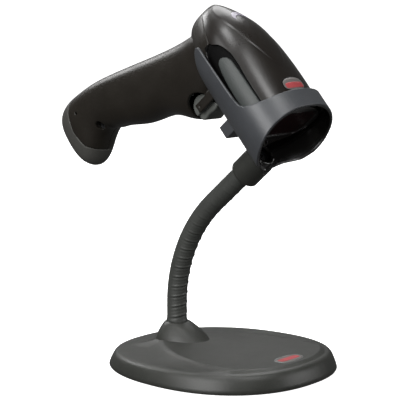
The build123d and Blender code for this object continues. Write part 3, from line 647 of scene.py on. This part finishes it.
# ---------------------------------------------------------------- mouldings with rounded edges
def cup_lining_shade(x, y, z):
    """1 for the faces that line the cup, painted glossy black as painted shade, 0 for those outside."""
    rise = (z - CUP_WIDEST_Z) / np.where(z > CUP_WIDEST_Z, CUP_RISE, CUP_DROP)
    half = CUP_HALF_WIDTH * np.sqrt(np.clip(1 - rise ** 2, 0, 1))
    half *= 1 - KEEL_PINCH * np.clip(-rise, 0, 1) ** KEEL_POWER
    return (np.abs(x) < half).astype(np.int32)


def painted_recess_shade(x, y, z):
    """1 for the faces of the side recesses and of the holes, which get painted shade, 0 for the rest of the
    shells.
    """
    seam = np.interp(y, *zip(*SEAM))
    floor = np.interp(y, *zip(*RECESS_FLOOR))
    recess = (np.abs(x) > RECESS_SIDE) & (y < RECESS_BACK) & (z > floor) & (z < seam)
    for hole_y, hole_z, radius in HOLES:
        recess |= np.hypot(y - hole_y, z - hole_z) < radius
    return recess.astype(np.int32)


# node, materials, body, voxel size, smoothing passes and paint, which picks each face's slot
# the cup's lining is painted glossy black: painted shade inside the cup
softened("cup", [CUP, NOSE_BLACK_AND_LINING_SHADE], "holder", 0.42, 5, cup_lining_shade)
softened("neck_collar", [STAND], "holder", 0.4, 6)
# the side recesses and the holes of the shells are painted near-black as painted shade
for node in ("housing_left", "housing_right"):
    softened(node, [SHELL, SHADE_AND_RIM_BLACK], "scanner", 0.45, 4, painted_recess_shade)
softened("handle_end_cap", [CAP], "scanner", 0.4, 4)
softened("nose_bezel", [NOSE_BLACK_AND_LINING_SHADE], "scanner", 0.4, 4)
for node in ("bumper_left", "bumper_right"):
    softened(node, [BUMPER], "scanner", 0.3, 6)
softened("trigger", [TRIGGER], "trigger_key", 0.35, 6)


# ---------------------------------------------------------------- status light and badges
def station_at(y):
    """The head's measures at a distance y behind the mouth, found by halving."""
    low, high = 0.0, len(HEAD) - 1.0
    for _ in range(30):
        middle = (low + high) / 2
        low, high = (middle, high) if head_station(middle)[0] < y else (low, middle)
    return head_station(low)


def on_crown(x, y, lift):
    """A point above or below the crown's surface by lift."""
    station = station_at(y)
    turn = math.acos(max(-1.0, min(1.0, x / station[1])))
    return crown_point(station, turn, 0.0) + scan(0, 0, lift) - scan(0, 0, 0)


def on_deck(x, y, lift):
    """A point above or below the base's deck by lift."""
    return world(x, y, DECK_HEIGHT + lift)


def inlay(place, near, far, lift, steps=48, across=6):
    """A thin inlay between two curves, each a function of -1...1, with its edge turned down."""
    points = []
    for r in range(steps + 1):
        u = -1 + 2 * r / steps
        (x0, y0), (x1, y1) = near(u), far(u)
        for c in range(-1, across + 2):
            v = min(across, max(0, c)) / across
            depth = INLAY_EDGE if c in (-1, across + 1) or r in (0, steps) else lift
            points.append(place(x0 + (x1 - x0) * v, y0 + (y1 - y0) * v, depth))
    return points, grid_faces(steps + 1, across + 3, closed=False)


def arc(centre_y, radius, reach):
    """A circle's arc about the +Y direction, reach radians to either side."""
    return lambda u: (radius * math.sin(reach * u), centre_y + radius * math.cos(reach * u))


def oval_side(half_x, half_y, centre_y, sign, power):
    """The front or the rear half of an oval, from its left end to its right end."""
    def curve(u):
        turn = math.pi / 2 * u
        across = signed_power(math.sin(turn), 2 / power)
        return half_x * across, centre_y + sign * half_y * math.cos(turn) ** (2 / power)
    return curve


def oval(place, size, lift, power=2.4):
    """An oval inlay; its size is half its width, half its length and its middle's y."""
    return inlay(place, oval_side(*size, -1, power), oval_side(*size, 1, power), lift)


def badge(name, place, half_x, half_y, centre_y, bar_y, rim_material, body):
    """An oval plate in a thin rim, with a plain red bar across it."""
    rim = oval(place, (half_x, half_y, centre_y), RIM_LIFT)
    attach(piece(f"{name}_rim", *rim, rim_material, "badge_plate", name), body)
    inner = (half_x - BADGE_RIM, half_y - BADGE_RIM, centre_y - PLATE_SHIFT)
    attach(piece(f"{name}_plate", *oval(place, inner, PLATE_LIFT), PLATE, "badge_plate"), body)
    bar = oval(place, (half_x * BAR_SHARE[0], half_y * BAR_SHARE[1], bar_y), BAR_LIFT, power=5.0)
    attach(piece(f"{name}_bar", *bar, RED, "badge_plate"), body)


lens = inlay(on_crown, arc(*LENS_NEAR), arc(*LENS_FAR), LENS_LIFT)
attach(piece("led_lens_moulded", *lens, LENS, "lens_plastic", "led_lens"), "scanner")
badge("head_badge", on_crown, *HEAD_BADGE, SHADE_AND_RIM_BLACK, "scanner")
badge("base_badge", on_deck, *BASE_BADGE, SILVER, "stand_base")


# ---------------------------------------------------------------- camera, lights and floor
def facing(direction):
    """The turn that points an object's back, its +Z, along a direction."""
    return Vector(direction).to_track_quat("Z", "Y").to_euler()


def add_camera():
    """The camera at the photograph's viewing angle."""
    data = bpy.data.cameras.new("camera")
    data.lens = FOCAL_LENGTH
    data.sensor_width = SENSOR_WIDTH
    camera = shown("camera", data)
    camera.location = CAMERA_PLACE
    level = math.cos(CAMERA_PITCH)
    camera.rotation_euler = facing((math.sin(CAMERA_AZIMUTH) * level, -math.cos(CAMERA_AZIMUTH) * level,
                                    math.sin(CAMERA_PITCH)))
    bpy.context.scene.camera = camera


def add_softbox(name, place, size, power):
    """A soft rectangular light, aimed at the object."""
    data = bpy.data.lights.new(name, "AREA")
    data.shape = "RECTANGLE"
    data.size, data.size_y = size
    data.energy = power
    light = shown(name, data)
    light.location = place
    light.rotation_euler = facing(Vector(place) - Vector(LIT_POINT))


def add_daylight():
    """A wide, weak sun that evens out the softboxes."""
    data = bpy.data.lights.new("daylight", "SUN")
    data.energy = SUN_POWER
    data.angle = SUN_ANGLE
    shown("daylight", data).rotation_euler = SUN_TURN


def add_world():
    """A white backdrop for the camera, and a weaker white light for everything else."""
    studio = bpy.data.worlds.new("studio")
    studio.use_nodes = True
    tree = studio.node_tree
    ambient = tree.nodes["Background"]
    backdrop = tree.nodes.new("ShaderNodeBackground")
    for background, strength in ((ambient, AMBIENT), (backdrop, BACKDROP)):
        background.inputs["Color"].default_value = WHITE
        background.inputs["Strength"].default_value = strength
    ray = tree.nodes.new("ShaderNodeLightPath")
    choose = tree.nodes.new("ShaderNodeMixShader")
    tree.links.new(ray.outputs["Is Camera Ray"], choose.inputs["Fac"])
    tree.links.new(ambient.outputs["Background"], choose.inputs[1])
    tree.links.new(backdrop.outputs["Background"], choose.inputs[2])
    tree.links.new(choose.outputs["Shader"], tree.nodes["World Output"].inputs["Surface"])
    bpy.context.scene.world = studio
    bpy.context.scene.view_settings.view_transform = "Standard"


def add_floor():
    """The pale floor; it takes shadows but throws no light back at the object."""
    mesh = bpy.data.meshes.new("floor")
    corners = [(-1, -1), (1, -1), (1, 1), (-1, 1)]
    mesh.from_pydata([(x * FLOOR_REACH, y * FLOOR_REACH, 0) for x, y in corners], [], [(0, 1, 2, 3)])
    mesh.materials.append(FLOOR)
    floor = shown("floor", mesh)
    floor.visible_diffuse = False
    floor.visible_glossy = False


add_camera()
for softbox in SOFTBOXES:
    add_softbox(*softbox)
add_daylight()
add_world()
add_floor()
